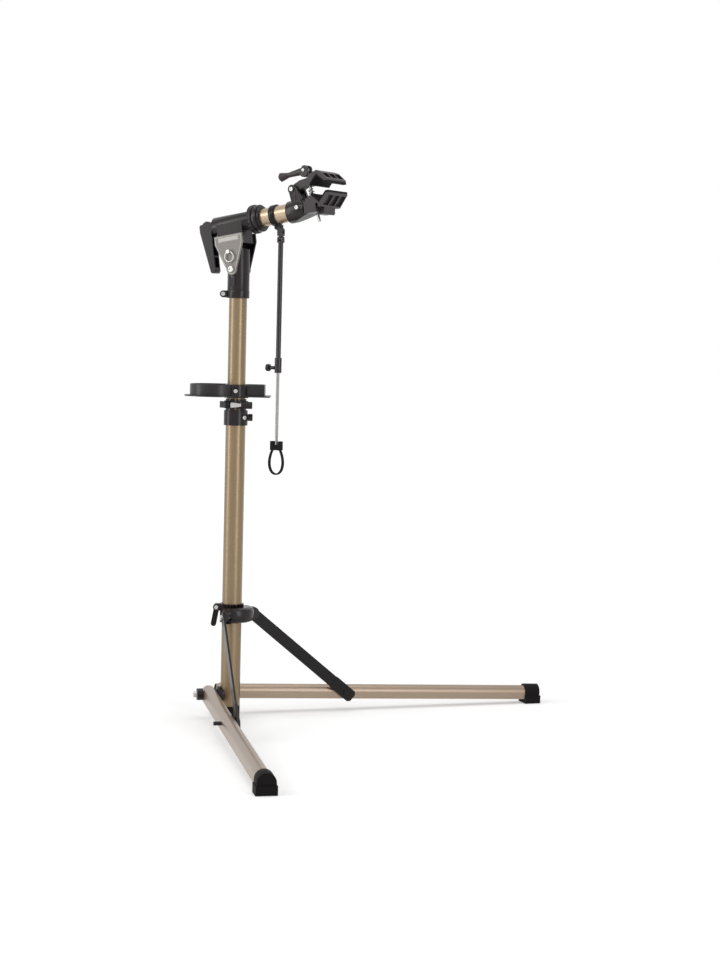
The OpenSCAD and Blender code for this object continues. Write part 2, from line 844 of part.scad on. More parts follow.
module tilt_bolt() {
    color(steel) head() {
        rod_y(tilt_bolt_r, -plate_y1 - over, plate_y1 + over);
        for (y = [-plate_y1 - screw_head_h, plate_y1 + seat_gap])
            rod_y(bolt_end_r, y, y + screw_head_h - seat_gap);
    }
}

module barrel() {
    web_in = 3;
    web_z0 = sleeve_top_r + web_in;
    web_x = plate_w / 2 - web_in;
    web_y = plate_y0 - seat_gap;
    color(black) on_arm() difference() {
        union() {
            rod_x(barrel_od / 2, barrel_rear, coupling_at - seat_gap);
            translate([-web_x, -web_y, web_z0 - barrel_at])
                cube([2 * web_x, 2 * web_y, plate_top - web_z0]);
            translate([-web_x, -barrel_od / 2, web_z0 - barrel_at])
                cube([2 * web_x, barrel_od, barrel_at - web_z0]);
        }
        rod_x(spindle_r + seat_gap, 2 * barrel_rear, 2 * coupling_at);
    }
}

// A side plate from y = 0 to y = plate_t, tapered to its rounded bottom on the tilt bolt.
module side_plate() {
    difference() {
        union() {
            flat(plate_t) polygon([[-plate_w / 2, plate_top], [plate_w / 2, plate_top],
                [plate_w / 2, plate_side],
                [plate_foot, 0], [-plate_foot, 0], [-plate_w / 2, plate_side]]);
            rod_y(plate_r, 0, plate_t);
        }
        rod_y(tilt_bolt_r + seat_gap, -over, plate_t + over);
    }
}

module plate_front() {
    color(pewter) head() translate([0, -plate_y1, 0]) difference() {
        side_plate();
        translate([0, 0, pin_at]) rod_y(pin_r + run_gap, -over, plate_t + over);
    }
}

module plate_rear() {
    color(black) head() translate([0, plate_y0, 0]) side_plate();
}

module coupling_fixed() {
    color(black) on_arm() difference() {
        rod_x(coupling_r, coupling_at, coupling_at + coupling_t);
        rod_x(spindle_r + seat_gap, 0, 2 * coupling_at);
    }
}

// Its head inside the clamp tube holds the turning coupling ring.
module spindle() {
    head_x = turn_at + turn_wall + side_gap;
    head_len = 8;
    head_gap = 2;
    color(steel) on_arm() difference() {
        union() {
            rod_x(spindle_r, lever_pin_x, head_x + over);
            translate([lever_pin_x, 0, 0]) rod_y(spindle_r, -spindle_r, spindle_r);
            rod_x(arm_r - arm_wall - head_gap, head_x, head_x + head_len);
        }
        translate([lever_pin_x, 0, 0]) rod_y(lever_pin_r + seat_gap, -lever_w, lever_w);
    }
}

module lever_pin() {
    color(steel) on_arm() translate([lever_pin_x, 0, 0])
        rod_y(lever_pin_r, lever_cover - lever_w / 2, lever_w / 2 - lever_cover);
}

module head_lever() {
    tip = 6;
    drop = barrel_at - tip;
    wall = 3;
    tip_x0 = -3;
    tip_x1 = 8;
    waist = 9;
    brow = 8;
    rear = 18;
    pocket_h = 3.4 * tip;
    slot = spindle_r + side_gap;
    bore = lever_w / 2 - lever_cover + seat_gap;
    color(black) on_arm() translate([lever_pin_x, 0, 0]) difference() {
        union() {
            rod_y(lever_cam_r, -lever_w / 2, lever_w / 2);
            middle(lever_w) polygon([[-rear, brow - wall], [wall - rear, brow], [brow, brow],
                [lever_cam_r - over, 0], [waist, -lever_cam_r], [tip_x1, -drop],
                [tip_x0, -drop], [-rear, -brow]]);
            translate([(tip_x0 + tip_x1) / 2, 0, -drop])
                rod_y((tip_x1 - tip_x0) / 2, -lever_w / 2, lever_w / 2);
        }
        rod_y(lever_pin_r + run_gap, -bore, bore);
        translate([-slot, -slot, -slot]) cube([big, 2 * slot, big]);
        for (z = [-drop + tip, -drop + 5 * tip, -drop + 9 * tip])
            translate([wall, wall - lever_w / 2, z]) cube([big, lever_w - 2 * wall, pocket_h]);
    }
}

module pull_pin() {
    hole_r = pull_wire_r + over;
    color(steel) head() translate([0, 0, pin_at]) difference() {
        union() {
            rod_y(pin_r, -pin_head_y, -sleeve_r + pin_depth);
            rod_y(pin_head_r, -pin_head_y - pin_head_len / 2, -pin_head_y + pin_head_len / 2);
        }
        translate([0, -pin_head_y, -over / 2]) rod_x(hole_r, -big, big);
    }
}

module pull_ring() {
    color(steel) head() translate([0, -pin_head_y, pin_at - pull_ring_r]) rotate([90, 0, 0])
        rotate_extrude() translate([pull_ring_r, 0]) circle(r = pull_wire_r, $fn = 24);
}

module clamp_tube() {
    color(bronze) on_arm() difference() {
        rod_x(arm_r, turn_at + turn_wall, body_at + body_socket - seat_gap);
        rod_x(arm_r - arm_wall, 0, 2 * body_at);
    }
}

module coupling_turning() {
    hub_len = 5;
    color(black) on_arm() difference() {
        union() {
            rod_x(coupling_r - over, turn_at, turn_at + coupling_t);
            rod_x(arm_r + hub_len, turn_at, turn_at + coupling_t + hub_len);
        }
        rod_x(spindle_r + run_gap, 0, 2 * turn_at);
        rod_x(arm_r + seat_gap, turn_at + turn_wall - seat_gap, 2 * turn_at);
    }
}

// One cheek: a plate that widens downwards, round about both bolts.
module cheek(y) {
    lean = 7;
    toe = 3;
    translate([0, y, 0]) {
        flat(cheek_t) polygon([[jaw_x - lean, jaw_z + lean], [jaw_x - lean, jaw_z - lean],
            [body_bolt_x - 2 * lean, body_bolt_z + lean], [body_bolt_x - lean, body_bolt_z - toe],
            [body_front - over, body_bolt_z - toe], [body_front - lean, jaw_z - 2 * lean],
            [jaw_x + cheek_r + toe, jaw_z]]);
        translate([jaw_x, 0, jaw_z]) rod_y(cheek_r, 0, cheek_t);
        translate([body_bolt_x, 0, body_bolt_z]) rod_y(cheek_r, 0, cheek_t);
    }
}

module clamp_body() {
    chin_lift = 12;
    chin_slope = 15;
    color(black) difference() {
        union() {
            on_arm() rod_x(body_r, body_at, chin_front);
            head() for (y = [-cheek_y1, cheek_y0]) cheek(y);
        }
        on_arm() rod_x(arm_r + seat_gap, 0, body_at + body_socket);
        head() {
            translate([body_front, -big, chin_top]) cube([big, 2 * big, big]);
            translate([chin_front, -big, barrel_at - body_r + chin_lift]) rotate([0, -chin_slope, 0])
                translate([-big, 0, -big]) cube([2 * big, 2 * big, big]);
            translate([jaw_x, 0, jaw_z]) rod_y(jaw_bolt_r + seat_gap, -big, big);
            translate([body_bolt_x, 0, body_bolt_z])
                rod_y(jaw_bolt_r + seat_gap, -2 * body_r, -cheek_y0);
        }
    }
}

module jaw_bolts() {
    y1 = cheek_y1 + screw_head_h;
    color(steel) head() {
        translate([jaw_x, 0, jaw_z]) {
            rod_y(jaw_bolt_r, -y1, y1);
            for (y = [-y1, cheek_y1 + seat_gap])
                rod_y(screw_head_r, y, y + screw_head_h - seat_gap);
        }
        translate([body_bolt_x, 0, body_bolt_z]) {
            rod_y(jaw_bolt_r, -body_r - over, -cheek_y0 - over);
            rod_y(screw_head_r, -body_r - screw_head_h, -body_r - seat_gap);
        }
    }
}

// Three pockets in a sloped face from p to q, side by side across the jaw, leave its ribs.
module rib_pockets(p, q) {
    run = norm(q - p);
    cell = (jaw_w - 4 * rib_t) / 3;
    translate([p[0], 0, p[1]]) rotate([0, -atan2(q[1] - p[1], q[0] - p[0]), 0]) for (i = [0:2])
        translate([rib_t, rib_t - jaw_w / 2 + i * (cell + rib_t), -pocket_depth])
            cube([run - 2 * rib_t, cell, 2 * pocket_depth]);
}

module lower_jaw() {
    root = 178;
    block_at = 194;
    rise = 5;
    groove_x = 215;
    groove = 5;
    groove_deep = 14;
    foot_z = 77;
    keel_w = 42;
    lip = [jaw_tip, lower_seat - rise / 2];
    bend = [jaw_tip - 4 * rise, foot_z + 2.2 * rise];
    color(black) head() difference() {
        union() {
            middle(jaw_root_w) polygon([[root, chin_top + side_gap], [root, rear_top],
                [block_at + over, rear_top], [block_at + over, chin_top + side_gap]]);
            middle(jaw_w) polygon([[block_at, foot_z + rise / 2], [block_at, rear_top],
                [vee_l - rise, lower_seat], [vee_l, lower_seat],
                [vee_x, lower_seat - vee_depth], [vee_r, lower_seat],
                [jaw_tip, lower_seat], lip, bend, [groove_x + groove, bend[1]],
                [groove_x + groove, foot_z + rise / 2]]);
            middle(keel_w) polygon([[groove_x - rise, foot_z + rise], [bend[0] - over, bend[1] + over],
                [bend[0] - rise, foot_z - rise / 2], [groove_x - rise, foot_z]]);
        }
        rib_pockets(bend, lip);
        for (y = [-jaw_w / 2 - over, jaw_w / 2 - groove_deep])
            translate([groove_x, y, 0]) cube([groove, groove_deep + over, rear_top - 2 * rise]);
        translate([cam_x, 0, cam_z]) rotate([0, -draw_lean, 0]) translate([0, 0, -2 * draw_len])
            cylinder(r = draw_r + seat_gap, h = 4 * draw_len);
    }
}

// A pad's face from its rear end to the jaw's front end, raised or lowered by h.
function pad_line(flat_z, vee_z, h) = [[vee_l, flat_z + h], [vee_x, vee_z + h], [vee_r, flat_z + h],
    [jaw_tip, flat_z + h]];

function reversed(list) = [for (i = [len(list) - 1:-1:0]) list[i]];

module lower_pad() {
    vee_z = lower_flat - vee_depth;
    color(rubber) head() middle(jaw_w) polygon(concat(pad_line(lower_flat, vee_z, 0),
        reversed(pad_line(lower_flat, vee_z, seat_gap - pad_t))));
}

module draw_rod() {
    color(steel) on_draw() {
        rod_y(eye_r, -eye_w / 2, eye_w / 2);
        translate([0, 0, -draw_len]) cylinder(r = draw_r, h = draw_len);
        rod_y(draw_r, -cam_w / 2 - over, cam_w / 2 + over);
    }
}

module upper_jaw() {
    back = upper_seat + vee_depth + 2 * rib_t;
    arm_top = cam_z - cam_throw - cam_r - 1.5 * side_gap;
    knee = 170;
    heel = 4;
    root = 5;
    slope = 4;
    lip_h = 3.5;
    tip_in = 14;
    slot = draw_r + 2;
    slot_len = 15;
    lip = [jaw_tip, upper_seat + lip_h];
    brow = [jaw_tip - tip_in, back - slope];
    color(black) head() difference() {
        union() {
            translate([jaw_x, 0, jaw_z]) rod_y(cheek_r, -knuckle_w / 2, knuckle_w / 2);
            middle(knuckle_w) polygon([[jaw_x - root, jaw_z + 1.4 * root], [knee, arm_top - slope],
                [vee_l, arm_top], [vee_l, upper_seat], [knee + 2 * slope, upper_seat],
                [knee - slope, jaw_z - slope],
                [jaw_x, jaw_z - cheek_r + over]]);
            middle(jaw_w) polygon([[vee_l - heel, upper_seat], [vee_l, upper_seat],
                [vee_x, upper_seat + vee_depth], [vee_r, upper_seat], [jaw_tip, upper_seat],
                lip, brow, [brow[0] - 2 * slope, back], [vee_l - heel / 2, arm_top - over]]);
        }
        rib_pockets(brow, lip);
        translate([jaw_x, 0, jaw_z]) rod_y(jaw_bolt_r + run_gap, -big, big);
        translate([cam_x - slope, -slot, jaw_z - 2 * cheek_r]) cube([slot_len, 2 * slot, big]);
    }
}

module upper_pad() {
    vee_z = upper_flat + vee_depth;
    color(rubber) head() middle(jaw_w) polygon(concat(pad_line(upper_flat, vee_z, pad_t - seat_gap),
        reversed(pad_line(upper_flat, vee_z, 0))));
}

// The handle's outline from the cam's middle to its flared end, turned about its own axis.
module cam_handle() {
    neck = 5;
    grip = 9;
    shaft = 40;
    flare = 58;
    edge = 4;
    rotate_extrude() polygon([[0, 0], [cam_r - over, 0], [neck, shaft], [grip, flare],
        [grip - edge, flare + edge], [0, flare + edge]]);
}

module cam_lever() {
    droop = 4;
    slot = draw_r + 2;
    back = 2;
    swing_past = 36;
    color(black) head() translate([cam_x, 0, cam_z]) difference() {
        union() {
            translate([0, 0, -cam_throw]) rod_y(cam_r, -cam_w / 2, cam_w / 2);
            translate([back, 0, back]) rod_y(cam_r - back, over - cam_w / 2, cam_w / 2 - over);
            rotate([0, -90 - droop, 0]) cam_handle();
        }
        rod_y(draw_r + run_gap, -big, big);
        rod_y(eye_r + side_gap, -eye_w / 2 - side_gap, eye_w / 2 + side_gap);
        middle(2 * slot) polygon([[-slot, 0], [-slot, -big], [big, -big],
            [big, big * tan(swing_past) + slot], [0, slot], [-slot, slot]]);
    }
}

// The spring is one tube along a helix, with straight ends of one wire diameter.
spring_top = 6;
spring_foot = 2.5;
spring_z1 = -(cam_z - upper_seat) / cos(draw_lean) - spring_top;
spring_z0 = -(cam_z - rear_top) / cos(draw_lean) + spring_foot;
spring_steps = 8 * spring_turns;
spring_sides = 6;
spring_pitch = (spring_z1 - spring_z0) / spring_turns;

function coil_point(i) = let (a = 360 * i / 8)
    [spring_r * cos(a), spring_r * sin(a), spring_z0 + spring_pitch * i / 8];
function coil_dir(i) = let (a = 360 * i / 8)
    [-spring_r * sin(a) * PI / 4, spring_r * cos(a) * PI / 4, spring_pitch / 8];
function unit(v) = v / norm(v);

spring_path = concat([coil_point(0) - 2 * spring_wire_r * unit(coil_dir(0))],
    [for (i = [0:spring_steps]) coil_point(i)],
    [coil_point(spring_steps) + 2 * spring_wire_r * unit(coil_dir(spring_steps))]);
spring_last = len(spring_path) - 1;

function path_dir(i) = unit(spring_path[min(i + 1, spring_last)] - spring_path[max(i - 1, 0)]);
function path_ring(i) = let (t = path_dir(i), n = unit(cross(t, [0, 0, 1])), b = cross(n, t))
    [for (j = [0:spring_sides - 1]) let (a = 360 * j / spring_sides)
        spring_path[i] + spring_wire_r * (cos(a) * n + sin(a) * b)];

spring_gap = min([for (i = [0:spring_last], j = [0:spring_last]) if (j > i + 5)
    norm(spring_path[i] - spring_path[j])]) - 2 * spring_wire_r;
echo(spring_gap = spring_gap);

module jaw_spring() {
    points = [for (i = [0:spring_last]) each path_ring(i)];
    walls = [for (i = [0:spring_last - 1], j = [0:spring_sides - 1])
        let (a = i * spring_sides + j, b = i * spring_sides + (j + 1) % spring_sides)
        each [[a, b, b + spring_sides], [a, b + spring_sides, a + spring_sides]]];
    top = spring_last * spring_sides;
    ends = [for (j = [1:spring_sides - 2]) each [[0, j + 1, j], [top, top + j, top + j + 1]]];
    color(steel) on_draw() polyhedron(points, concat(walls, ends));
}

module hanger_band() {
    lug_w = 2 * link_r;
    color(black) difference() {
        union() {
            on_arm() rod_x(hang_r, hang_at, hang_at + hang_w);
            head() translate([hang_x, 0, hang_z]) {
                rod_y(link_r, -link_t, link_t);
                middle(link_t * 2) polygon([[-hang_ahead - lug_w / 2, link_r], [0, over - link_r],
                    [link_r - over, 0], [link_r, lug_w], [-hang_ahead, hang_drop - arm_r],
                    [-hang_ahead - lug_w / 2, hang_drop - arm_r]]);
            }
        }
        on_arm() rod_x(arm_r + seat_gap, 0, big);
        head() translate([hang_x, 0, hang_z]) rod_y(hang_pin_r + run_gap, -big, big);
    }
}

module rod_eye() {
    y1 = link_gap + link_t;
    bridge = 6;
    color(black) hung() difference() {
        union() {
            for (y = [-y1, link_gap]) translate([0, y, 0]) flat(link_t) rotate(-90)
                strip(0, bridge, 2 * link_r);
            translate([-link_r, -y1, -bridge - link_r]) cube([2 * link_r, 2 * y1, bridge - side_gap]);
            rod_y(hang_pin_r, -y1, y1);
            translate([-swing_t / 2, -swing_r, -swing_drop])
                cube([swing_t, 2 * swing_r, swing_drop - bridge]);
            translate([0, 0, -swing_drop]) rod_x(swing_r, -swing_t / 2, swing_t / 2);
        }
        translate([0, 0, -swing_drop]) rod_x(hang_pin_r + run_gap, -big, big);
    }
}

module outer_rod() {
    rod_r = rod_od / 2;
    fork_x = swing_t / 2 + side_gap;
    cap_h = 3;
    end_wall = 10;
    color(black) hung() difference() {
        union() {
            translate([0, 0, -rod_end]) cylinder(r = rod_r, h = rod_len);
            translate([0, 0, -rod_end]) cylinder(d = rod_sleeve_d, h = rod_sleeve_len);
            for (s = [-1, 1]) translate([s * (fork_x + link_t / 2) - link_t / 2, 0, 0]) {
                translate([0, 0, -swing_drop]) rod_x(swing_r, 0, link_t);
                translate([0, -swing_r, -rod_top]) cube([link_t, 2 * swing_r, rod_top - swing_drop]);
            }
            translate([0, 0, -rod_top]) cylinder(r = fork_x + link_t, h = cap_h);
            translate([0, 0, -swing_drop]) rod_x(hang_pin_r, -fork_x - over, fork_x + over);
        }
        translate([0, 0, -rod_end - over]) cylinder(d = inner_d + 2 * run_gap, h = rod_len);
        translate([0, 0, -rod_end + end_wall]) cylinder(d = rod_id, h = rod_len - end_wall);
        translate([0, 0, -screw_drop]) rod_x(screw_r + run_gap, -big, 0);
    }
}

module thumbscrew() {
    neck = rod_sleeve_d / 2 + side_gap;
    disc_x = 20;
    disc_t = 6;
    color(black) hung() translate([0, 0, -screw_drop]) {
        rod_x(screw_r, -disc_x, -inner_d / 2 - side_gap);
        rod_x(screw_head_r - over / 2, -disc_x - over, -neck);
        rod_x(disc_r, -disc_x - disc_t, -disc_x);
    }
}

// The loop's half width grows from its top towards its bottom, like a drop.
function strap_edge(grow) = [for (a = [0:strap_step:360 - strap_step])
    [(strap_half + grow) * sin(a) * (1 - strap_drop * cos(a)),
        (strap_h / 2 + grow) * cos(a) - strap_h / 2]];

// A band as wide as the strap plus gap, with both faces moved out by gap.
module strap_band(gap) {
    hung() translate([0, 0, -strap_top]) middle(strap_w + 2 * gap) difference() {
        polygon(strap_edge(strap_t + gap));
        polygon(strap_edge(-gap));
    }
}

// The bracket on the rod's end has a slot that the strap is threaded through.
module inner_rod() {
    color(steel) difference() {
        hung() translate([0, 0, -rod_end - inner_show]) {
            translate([0, 0, -prong_h - over])
                cylinder(d = inner_d, h = prong_h + inner_show + inner_hidden);
            translate([-bracket_w / 2, -bracket_t / 2, -bracket_h])
                cube([bracket_w, bracket_t, bracket_h - prong_h]);
            for (x = [-bracket_w / 2, bracket_w / 2 - prong_w])
                translate([x, -bracket_t / 2, -bracket_h]) cube([prong_w, bracket_t, bracket_h]);
        }
        strap_band(seat_gap);
    }
}

module strap() {
    color(rubber) strap_band(0);
}

mast_foot();
lower_tube();
pivot_bracket();
pivot_bolts();
pivot_nuts();
leg(1);  // leg_far
foot(1);  // foot_far
brace_nut(1);  // brace_nut_far
leg(-1);  // leg_near
foot(-1);  // foot_near
brace_nut(-1);  // brace_nut_near
leg_collar();
collar_pins();
collar_bolt();
collar_lever();
brace(1);  // brace_far
brace_cap(1);  // brace_cap_far
brace(-1);  // brace_near
brace_cap(-1);  // brace_cap_near
top_collar();
mast_band();
mast_bolt();
mast_drum();
mast_lever();
mast_knob();
upper_tube();
glide_bush();
tray_ring();
tray();
tray_screw();
head_sleeve();
sleeve_ring();
ring_bolt();
tilt_bolt();
barrel();
plate_front();
plate_rear();
coupling_fixed();
spindle();
lever_pin();
head_lever();
pull_pin();
pull_ring();
clamp_tube();
coupling_turning();
clamp_body();
lower_jaw();
lower_pad();
jaw_bolts();
draw_rod();
upper_jaw();
upper_pad();
cam_lever();
jaw_spring();
hanger_band();
rod_eye();
outer_rod();
thumbscrew();
inner_rod();
strap();
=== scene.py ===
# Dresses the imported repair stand: camera, light, finishes and the small raised details.
import json
import math

import bmesh
import bpy
import numpy as np
from mathutils import Matrix, Vector


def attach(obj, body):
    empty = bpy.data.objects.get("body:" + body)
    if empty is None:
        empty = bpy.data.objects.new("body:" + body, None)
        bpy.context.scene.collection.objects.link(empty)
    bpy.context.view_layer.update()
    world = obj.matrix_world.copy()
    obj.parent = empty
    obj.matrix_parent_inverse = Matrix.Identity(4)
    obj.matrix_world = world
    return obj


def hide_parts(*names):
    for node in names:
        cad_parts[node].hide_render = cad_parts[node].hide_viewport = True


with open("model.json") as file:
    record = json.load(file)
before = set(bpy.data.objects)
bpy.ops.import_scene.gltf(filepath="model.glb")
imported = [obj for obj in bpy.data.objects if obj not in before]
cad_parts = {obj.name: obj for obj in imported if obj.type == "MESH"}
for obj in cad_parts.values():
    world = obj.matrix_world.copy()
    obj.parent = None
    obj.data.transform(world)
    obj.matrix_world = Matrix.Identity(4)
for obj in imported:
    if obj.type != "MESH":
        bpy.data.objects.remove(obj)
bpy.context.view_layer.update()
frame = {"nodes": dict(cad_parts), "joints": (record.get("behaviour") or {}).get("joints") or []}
nodes = frame["nodes"]
scene = bpy.context.scene
scene.view_settings.view_transform = "Standard"
mm = 0.001
perMetre = 1000  # turns a pattern's size in mm into its scale


def toLinear(hexText):  # sRGB hex to linear rgba
    parts = [int(hexText[i:i + 2], 16) / 255 for i in (1, 3, 5)]
    return [p / 12.92 if p <= 0.04045 else ((p + 0.055) / 1.055) ** 2.4 for p in parts] + [1.0]


# settings: an attribute or a socket and its value; links: a socket and the (node, output) that feeds it
def addNode(tree, kind, settings=None, links=None):
    node = tree.nodes.new(kind)
    for key, value in (settings or {}).items():
        if isinstance(key, str) and key not in node.inputs and hasattr(node, key):
            setattr(node, key, value)
        else:
            node.inputs[key].default_value = value
    for key, (source, output) in (links or {}).items():
        tree.links.new(source.outputs[output], node.inputs[key])
    return node


def newFinish(name):  # an empty material and its tree
    made = bpy.data.materials.new(name)
    made.use_nodes = True
    made.node_tree.nodes.clear()
    return made, made.node_tree


# the end that all finishes share: patterns set one shader's colour, between two tones, its gloss and bump
def endFinish(tree, tone, gloss, relief, settings):
    tonePattern, dark, light = tone
    glossPattern, least, most = gloss
    reliefPattern, strength, depthMm = relief
    colour = addNode(tree, "ShaderNodeMix", {"data_type": "RGBA", 6: toLinear(dark), 7: toLinear(light)},
                     {0: (tonePattern, 0)})  # 6 and 7 are its two colours, output 2 the mixed one
    rough = addNode(tree, "ShaderNodeMapRange", {"To Min": least, "To Max": most},
                    {"Value": (glossPattern, 0)})
    bump = addNode(tree, "ShaderNodeBump", {"Strength": strength, "Distance": depthMm * mm},
                   {"Height": (reliefPattern, 0)})
    skin = addNode(tree, "ShaderNodeBsdfPrincipled", settings,
                   {"Base Color": (colour, 2), "Roughness": (rough, 0), "Normal": (bump, 0)})
    addNode(tree, "ShaderNodeOutputMaterial", links={"Surface": (skin, "BSDF")})


# camera: solved from the legs, the mast and the head in the photograph
# metres and degrees, with the lens and the sensor in mm
cameraSet = dict(place=(2.2416, -3.4301, 0.7970), yaw=-29.616, pitch=4.276, roll=-1.428, lens=76.097,
                 sensor=36, farthest=50)


def addCamera(c):  # yaw and pitch give the way it looks, and the roll then turns the picture
    yaw, pitch, roll = (math.radians(c[k]) for k in ("yaw", "pitch", "roll"))
    ahead = Vector((math.sin(yaw) * math.cos(pitch), math.cos(yaw) * math.cos(pitch), -math.sin(pitch)))
    right = Vector((math.cos(yaw), -math.sin(yaw), 0))
    down = ahead.cross(right)
    right, down = (math.cos(roll) * right + math.sin(roll) * down,
                   math.cos(roll) * down - math.sin(roll) * right)
    data = bpy.data.cameras.new("photoCamera")
    data.sensor_width, data.lens, data.clip_end = c["sensor"], c["lens"], c["farthest"]
    camera = bpy.data.objects.new("photoCamera", data)
    turn = Matrix((right, -down, -ahead)).transposed().to_4x4()
    camera.matrix_world = Matrix.Translation(c["place"]) @ turn
    scene.collection.objects.link(camera)
    scene.camera = camera


# studio: soft lamps, a pale sweep of floor, white where the camera or a reflection looks past the stand
# metres and watts; a lamp has its name, its place, what it points at, its width and height, and its power
studioSet = dict(skyLight=0.35, white=1.0, paperTone=0.85, floorHalf=9.0, floorLow=-0.0005,
                 glowNear=0.34, glowFar=0.72, glowFrom=0.6, glowTo=4.0,
                 lamps=[("leftStrip", (-2.26, -2.26, 1.2), (0.0, 0, 1.2), (0.8, 2.4), 32),
                        ("rightStrip", (3.03, -1.04, 1.2), (0.0, 0, 1.2), (0.8, 2.4), 30),
                        ("keyLamp", (-1.6, -3.2, 2.8), (0.1, 0, 0.7), (2.0, 2.0), 40),
                        ("topLamp", (0.2, 0.4, 3.4), (0.1, 0, 0.5), (2.4, 2.4), 34)])


def seenRays(tree):  # 1 where the camera, a reflection or a view through something looks
    path = addNode(tree, "ShaderNodeLightPath")
    first = addNode(tree, "ShaderNodeMath", {"operation": "MAXIMUM"},
                    {0: (path, "Is Camera Ray"), 1: (path, "Is Glossy Ray")})
    return addNode(tree, "ShaderNodeMath", {"operation": "MAXIMUM"},
                   {0: (first, 0), 1: (path, "Is Transmission Ray")})


def addStudio(s):
    world = bpy.data.worlds.new("studio")
    scene.world = world
    world.use_nodes = True
    tree = world.node_tree
    tree.nodes.clear()
    seen = seenRays(tree)
    soft = addNode(tree, "ShaderNodeBackground", {"Color": (1, 1, 1, 1), "Strength": s["skyLight"]})
    white = addNode(tree, "ShaderNodeBackground", {"Color": (1, 1, 1, 1), "Strength": s["white"]})
    mix = addNode(tree, "ShaderNodeMixShader", links={0: (seen, 0), 1: (soft, 0), 2: (white, 0)})
    addNode(tree, "ShaderNodeOutputWorld", links={"Surface": (mix, 0)})
    for name, place, target, size, power in s["lamps"]:
        data = bpy.data.lights.new(name, "AREA")
        data.shape, data.energy = "RECTANGLE", power
        data.size, data.size_y = size
        lamp = bpy.data.objects.new(name, data)
        lamp.location = place
        lamp.rotation_euler = (Vector(target) - Vector(place)).to_track_quat("-Z", "Y").to_euler()
        scene.collection.objects.link(lamp)
    h, low = s["floorHalf"], s["floorLow"]
    mesh = bpy.data.meshes.new("studioFloor")
    mesh.from_pydata([(-h, -h, low), (h, -h, low), (h, h, low), (-h, h, low)], [], [(0, 1, 2, 3)])
    floor = bpy.data.objects.new("studioFloor", mesh)
    scene.collection.objects.link(floor)
    made, tree = newFinish("studioPaper")
    seen = seenRays(tree)
    where = addNode(tree, "ShaderNodeTexCoord")
    away = addNode(tree, "ShaderNodeVectorMath", {"operation": "LENGTH"}, {0: (where, "Object")})
    # the lamps light the middle, the glow the paper further out
    rise = addNode(tree, "ShaderNodeMapRange",
                   {"From Min": s["glowFrom"], "From Max": s["glowTo"],
                    "To Min": s["glowNear"], "To Max": s["glowFar"]}, {"Value": (away, "Value")})
    glow = addNode(tree, "ShaderNodeMath", {"operation": "MULTIPLY"}, {0: (seen, 0), 1: (rise, 0)})
    light = addNode(tree, "ShaderNodeEmission", {"Color": (1, 1, 1, 1)}, {"Strength": (glow, 0)})
    paper = addNode(tree, "ShaderNodeBsdfDiffuse", {"Color": [s["paperTone"]] * 3 + [1]})
    both = addNode(tree, "ShaderNodeAddShader", links={0: (light, 0), 1: (paper, 0)})
    addNode(tree, "ShaderNodeOutputMaterial", links={"Surface": (both, 0)})
    mesh.materials.append(made)


addCamera(cameraSet)
addStudio(studioSet)
print("camera and studio ready")


# anodised aluminium, drawn or turned: satin, with faint tool lines and a slight drift of colour
# the lines are coarser than life so that they show
tubeSkin = dict(driftMm=160, driftDetail=1.0, lineDetail=2.0, share=0.5, glossLow=0.03, glossHigh=0.04,
                bump=0.04, bumpMm=0.03, shader={"Metallic": 0.7, "Coat Weight": 0.4, "Coat Roughness": 0.32})


def anodisedTube(name, dark, light, rough, lineMm, stretch):
    t = tubeSkin
    made, tree = newFinish(name)
    where = addNode(tree, "ShaderNodeTexCoord")
    along = addNode(tree, "ShaderNodeMapping", {"Scale": stretch}, {"Vector": (where, "Object")})
    lines = addNode(tree, "ShaderNodeTexNoise", {"Scale": perMetre / lineMm, "Detail": t["lineDetail"]},
                    {"Vector": (along, 0)})
    drift = addNode(tree, "ShaderNodeTexNoise",
                    {"Scale": perMetre / t["driftMm"], "Detail": t["driftDetail"]},
                    {"Vector": (where, "Object")})
    part = addNode(tree, "ShaderNodeMath", {"operation": "MULTIPLY", 1: t["share"]}, {0: (lines, 0)})
    blend = addNode(tree, "ShaderNodeMath", {"operation": "MULTIPLY_ADD", 1: t["share"]},
                    {0: (drift, 0), 2: (part, 0)})
    endFinish(tree, (blend, dark, light), (lines, rough - t["glossLow"], rough + t["glossHigh"]),
              (lines, t["bump"], t["bumpMm"]), t["shader"])
    return made


# nylon, enamel or rubber, moulded or painted: black, with a fine grain and soft patches of sheen
# the grain is coarser than life so that it shows
darkSkin = dict(patchMm=45, patchDetail=2.0, grainDetail=3.0, spread=0.07, bump=0.2)


def blackSkin(name, dark, light, rough, grainMm, depthMm, shine):
    d = darkSkin
    made, tree = newFinish(name)
    where = addNode(tree, "ShaderNodeTexCoord")
    grain = addNode(tree, "ShaderNodeTexNoise", {"Scale": perMetre / grainMm, "Detail": d["grainDetail"]},
                    {"Vector": (where, "Object")})
    patch = addNode(tree, "ShaderNodeTexNoise",
                    {"Scale": perMetre / d["patchMm"], "Detail": d["patchDetail"]},
                    {"Vector": (where, "Object")})
    endFinish(tree, (patch, dark, light), (patch, rough - d["spread"], rough + d["spread"]),
              (grain, d["bump"], depthMm), {"Specular IOR Level": shine})
    return made


# metal, plated, drawn or lacquered: fine lines that vary its tone and gloss
# the lines are coarser than life so that they show
metalSkin = dict(lineDetail=2.0, glossLow=0.05, glossHigh=0.08, bump=0.1, bumpMm=0.05)


